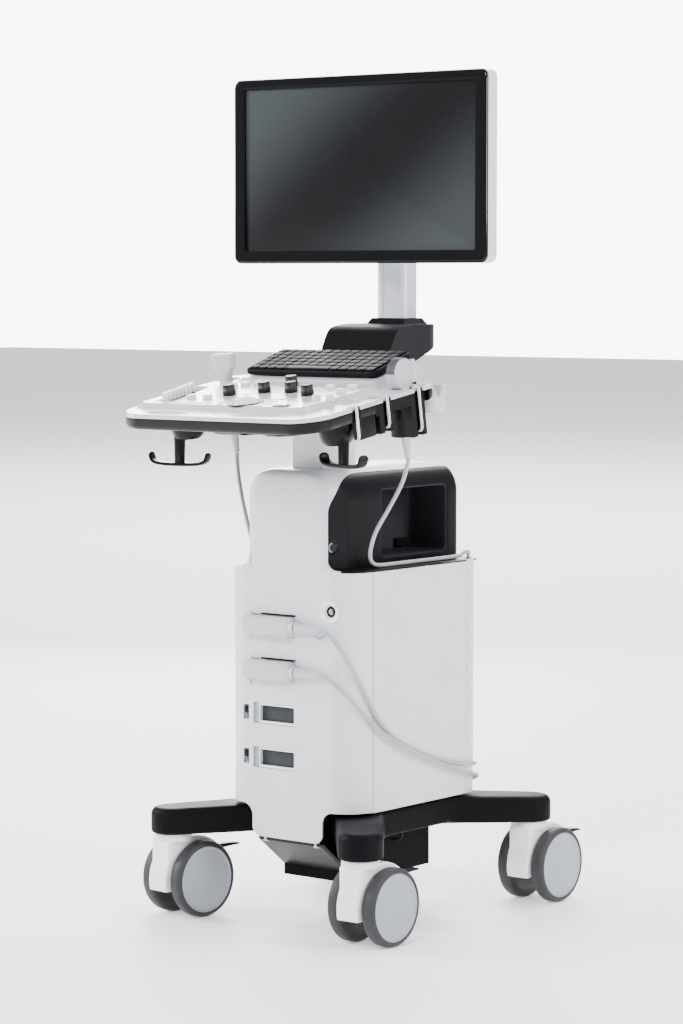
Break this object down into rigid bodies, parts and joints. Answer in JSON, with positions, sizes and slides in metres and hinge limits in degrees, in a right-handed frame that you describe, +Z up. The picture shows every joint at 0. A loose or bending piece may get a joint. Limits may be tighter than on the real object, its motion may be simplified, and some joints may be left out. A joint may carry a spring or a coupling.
{
  "type": "ultrasound machine",
  "caption": "Cart-type ultrasound machine: caster base, slim trunk with probe ports, lifting and swivelling control console with keyboard and probe holders, tilting monitor on a pole.",
  "frame": {"origin": "on the floor, midway between the four caster swivels", "axes": "+Z up, +X to the machine's right as the operator sees it from the front, -Y towards the operator"},
  "size_m": [0.522, 0.7333, 1.3715],
  "materials": {
    "white_cover": "satin",
    "light_cover": "satin",
    "black_plastic": "fine grain",
    "dark_grey": "satin",
    "port_grey": "satin",
    "steel_frame": "zinc plated",
    "cast_base": "black powder coat",
    "silver": "satin silver paint",
    "circuit": "satin",
    "caster_white": "satin",
    "tyre": "matt",
    "deck_white": "satin",
    "key_black": "fine grain",
    "ball_white": "polished",
    "probe_white": "satin",
    "cable_grey": "satin",
    "gloss_black": "high gloss",
    "screen": "glass front"
  },
  "bodies": {
    "cart": {"base_casting": "cast_base", "chassis_frame": "steel_frame", "power_box": "black_plastic", "base_front_panel": "dark_grey", "front_cover": "white_cover", "side_panel_left": "white_cover", "side_panel_right": "white_cover", "rear_cover": "light_cover", "bay_liner": "black_plastic", "port_panel": "port_grey", "electronics_rack": "circuit", "cooling_fans": "dark_grey", "mains_inlet": "black_plastic", "aux_socket": "light_cover", "lift_sleeve": "silver", "probe_connectors": "probe_white", "cable_right_lower": "cable_grey", "cable_left_lower": "cable_grey"},
    "power_button": {"power_button": "black_plastic"},
    "port_latches": {"port_latches": "black_plastic"},
    "caster_front_left": {"caster_front_left_housing": "caster_white"},
    "caster_front_left_wheels": {"caster_front_left_wheels": "tyre"},
    "caster_front_left_pedal": {"caster_front_left_pedal": "black_plastic"},
    "caster_front_right": {"caster_front_right_housing": "caster_white"},
    "caster_front_right_wheels": {"caster_front_right_wheels": "tyre"},
    "caster_front_right_pedal": {"caster_front_right_pedal": "black_plastic"},
    "caster_rear_left": {"caster_rear_left_housing": "caster_white"},
    "caster_rear_left_wheels": {"caster_rear_left_wheels": "tyre"},
    "caster_rear_left_pedal": {"caster_rear_left_pedal": "black_plastic"},
    "caster_rear_right": {"caster_rear_right_housing": "caster_white"},
    "caster_rear_right_wheels": {"caster_rear_right_wheels": "tyre"},
    "caster_rear_right_pedal": {"caster_rear_right_pedal": "black_plastic"},
    "lift_column": {"lift_column": "silver"},
    "console": {"console_base": "black_plastic", "console_deck": "deck_white", "keyboard_body": "key_black", "cable_hooks": "black_plastic", "probe_holder_left": "black_plastic", "probe_holder_right": "black_plastic", "gel_cup": "light_cover", "linear_probe": "probe_white", "convex_probe": "probe_white", "cable_right_upper": "cable_grey", "cable_left_upper": "cable_grey", "speaker_housing": "black_plastic", "monitor_pole": "silver"},
    "keycaps": {"keycaps": "key_black"},
    "gain_sliders": {"gain_sliders": "deck_white"},
    "push_switches": {"push_switches": "deck_white"},
    "trackball": {"trackball": "ball_white"},
    "rotary_knob_1": {"rotary_knob_1": "dark_grey"},
    "rotary_knob_2": {"rotary_knob_2": "dark_grey"},
    "rotary_knob_3": {"rotary_knob_3": "dark_grey"},
    "rotary_knob_4": {"rotary_knob_4": "dark_grey"},
    "rotary_knob_5": {"rotary_knob_5": "dark_grey"},
    "monitor_bracket": {"monitor_bracket": "dark_grey"},
    "monitor": {"monitor_rear_case": "deck_white", "monitor_bezel": "gloss_black", "monitor_screen": "screen"}
  },
  "joints": [
    {"name": "power_button_press", "type": "slide", "parent": "cart", "child": "power_button", "axis": [-0.9373, 0.3486, 0], "range_m": [0, 0.002], "stiffness_N_per_m": 300, "springref_m": -0.0005},
    {"name": "port_latch_slide", "type": "slide", "parent": "cart", "child": "port_latches", "axis": [0, 0, 1], "range_m": [-0.008, 0]},
    {"name": "caster_front_left_swivel", "type": "hinge", "parent": "cart", "child": "caster_front_left", "pos_m": [-0.194, -0.229, 0.15], "axis": [0, 0, 1], "continuous": true},
    {"name": "caster_front_left_roll", "type": "hinge", "parent": "caster_front_left", "child": "caster_front_left_wheels", "pos_m": [-0.18998, -0.19625, 0.0625], "axis": [0.9925, -0.1219, 0], "continuous": true},
    {"name": "caster_front_left_brake", "type": "hinge", "parent": "caster_front_left", "child": "caster_front_left_pedal", "pos_m": [-0.18523, -0.15754, 0.1], "axis": [0.9925, -0.1219, 0], "range_deg": [-12, 0]},
    {"name": "caster_front_right_swivel", "type": "hinge", "parent": "cart", "child": "caster_front_right", "pos_m": [0.194, -0.229, 0.15], "axis": [0, 0, 1], "continuous": true},
    {"name": "caster_front_right_roll", "type": "hinge", "parent": "caster_front_right", "child": "caster_front_right_wheels", "pos_m": [0.194, -0.196, 0.0625], "axis": [1, 0, 0], "continuous": true},
    {"name": "caster_front_right_brake", "type": "hinge", "parent": "caster_front_right", "child": "caster_front_right_pedal", "pos_m": [0.194, -0.157, 0.1], "axis": [1, 0, 0], "range_deg": [-12, 0]},
    {"name": "caster_rear_left_swivel", "type": "hinge", "parent": "cart", "child": "caster_rear_left", "pos_m": [-0.194, 0.229, 0.15], "axis": [0, 0, 1], "continuous": true},
    {"name": "caster_rear_left_roll", "type": "hinge", "parent": "caster_rear_left", "child": "caster_rear_left_wheels", "pos_m": [-0.194, 0.262, 0.0625], "axis": [1, 0, 0], "continuous": true},
    {"name": "caster_rear_left_brake", "type": "hinge", "parent": "caster_rear_left", "child": "caster_rear_left_pedal", "pos_m": [-0.194, 0.301, 0.1], "axis": [1, 0, 0], "range_deg": [-12, 0]},
    {"name": "caster_rear_right_swivel", "type": "hinge", "parent": "cart", "child": "caster_rear_right", "pos_m": [0.194, 0.229, 0.15], "axis": [0, 0, 1], "continuous": true},
    {"name": "caster_rear_right_roll", "type": "hinge", "parent": "caster_rear_right", "child": "caster_rear_right_wheels", "pos_m": [0.194, 0.262, 0.0625], "axis": [1, 0, 0], "continuous": true},
    {"name": "caster_rear_right_brake", "type": "hinge", "parent": "caster_rear_right", "child": "caster_rear_right_pedal", "pos_m": [0.194, 0.301, 0.1], "axis": [1, 0, 0], "range_deg": [-12, 0]},
    {"name": "console_lift", "type": "slide", "parent": "cart", "child": "lift_column", "axis": [0, 0, 1], "range_m": [0, 0.2]},
    {"name": "console_swivel", "type": "hinge", "parent": "lift_column", "child": "console", "pos_m": [0, -0.076, 0.82], "axis": [0, 0, 1], "range_deg": [-30, 30]},
    {"name": "keys_press", "type": "slide", "parent": "console", "child": "keycaps", "axis": [0, 0.309, -0.9511], "range_m": [0, 0.002], "stiffness_N_per_m": 4000, "springref_m": -0.001},
    {"name": "gain_sliders_slide", "type": "slide", "parent": "console", "child": "gain_sliders", "axis": [1, 0, 0], "range_m": [-0.004, 0.008]},
    {"name": "switches_press", "type": "slide", "parent": "console", "child": "push_switches", "axis": [0, 0.1564, -0.9877], "range_m": [0, 0.0015], "stiffness_N_per_m": 1500, "springref_m": -0.001},
    {"name": "rotary_knob_1_turn", "type": "hinge", "parent": "console", "child": "rotary_knob_1", "pos_m": [-0.064, -0.23721, 0.85544], "axis": [0, -0.1564, 0.9877], "continuous": true},
    {"name": "rotary_knob_2_turn", "type": "hinge", "parent": "console", "child": "rotary_knob_2", "pos_m": [-0.017, -0.20659, 0.86029], "axis": [0, -0.1564, 0.9877], "continuous": true},
    {"name": "rotary_knob_3_turn", "type": "hinge", "parent": "console", "child": "rotary_knob_3", "pos_m": [0.033, -0.20066, 0.86123], "axis": [0, -0.1564, 0.9877], "continuous": true},
    {"name": "rotary_knob_4_turn", "type": "hinge", "parent": "console", "child": "rotary_knob_4", "pos_m": [-0.004, -0.15424, 0.86858], "axis": [0, -0.1564, 0.9877], "continuous": true},
    {"name": "rotary_knob_5_turn", "type": "hinge", "parent": "console", "child": "rotary_knob_5", "pos_m": [0.081, -0.21943, 0.85826], "axis": [0, -0.1564, 0.9877], "continuous": true},
    {"name": "trackball_roll", "type": "hinge", "parent": "console", "child": "trackball", "pos_m": [0.013, -0.28638, 0.83348], "axis": [1, 0, 0], "continuous": true},
    {"name": "monitor_swivel", "type": "hinge", "parent": "console", "child": "monitor_bracket", "pos_m": [0, 0.118, 1.249], "axis": [0, 0, 1], "range_deg": [-60, 60]},
    {"name": "monitor_tilt", "type": "hinge", "parent": "monitor_bracket", "child": "monitor", "pos_m": [0, 0.074, 1.249], "axis": [-1, 0, 0], "range_deg": [-5, 20]}
  ]
}
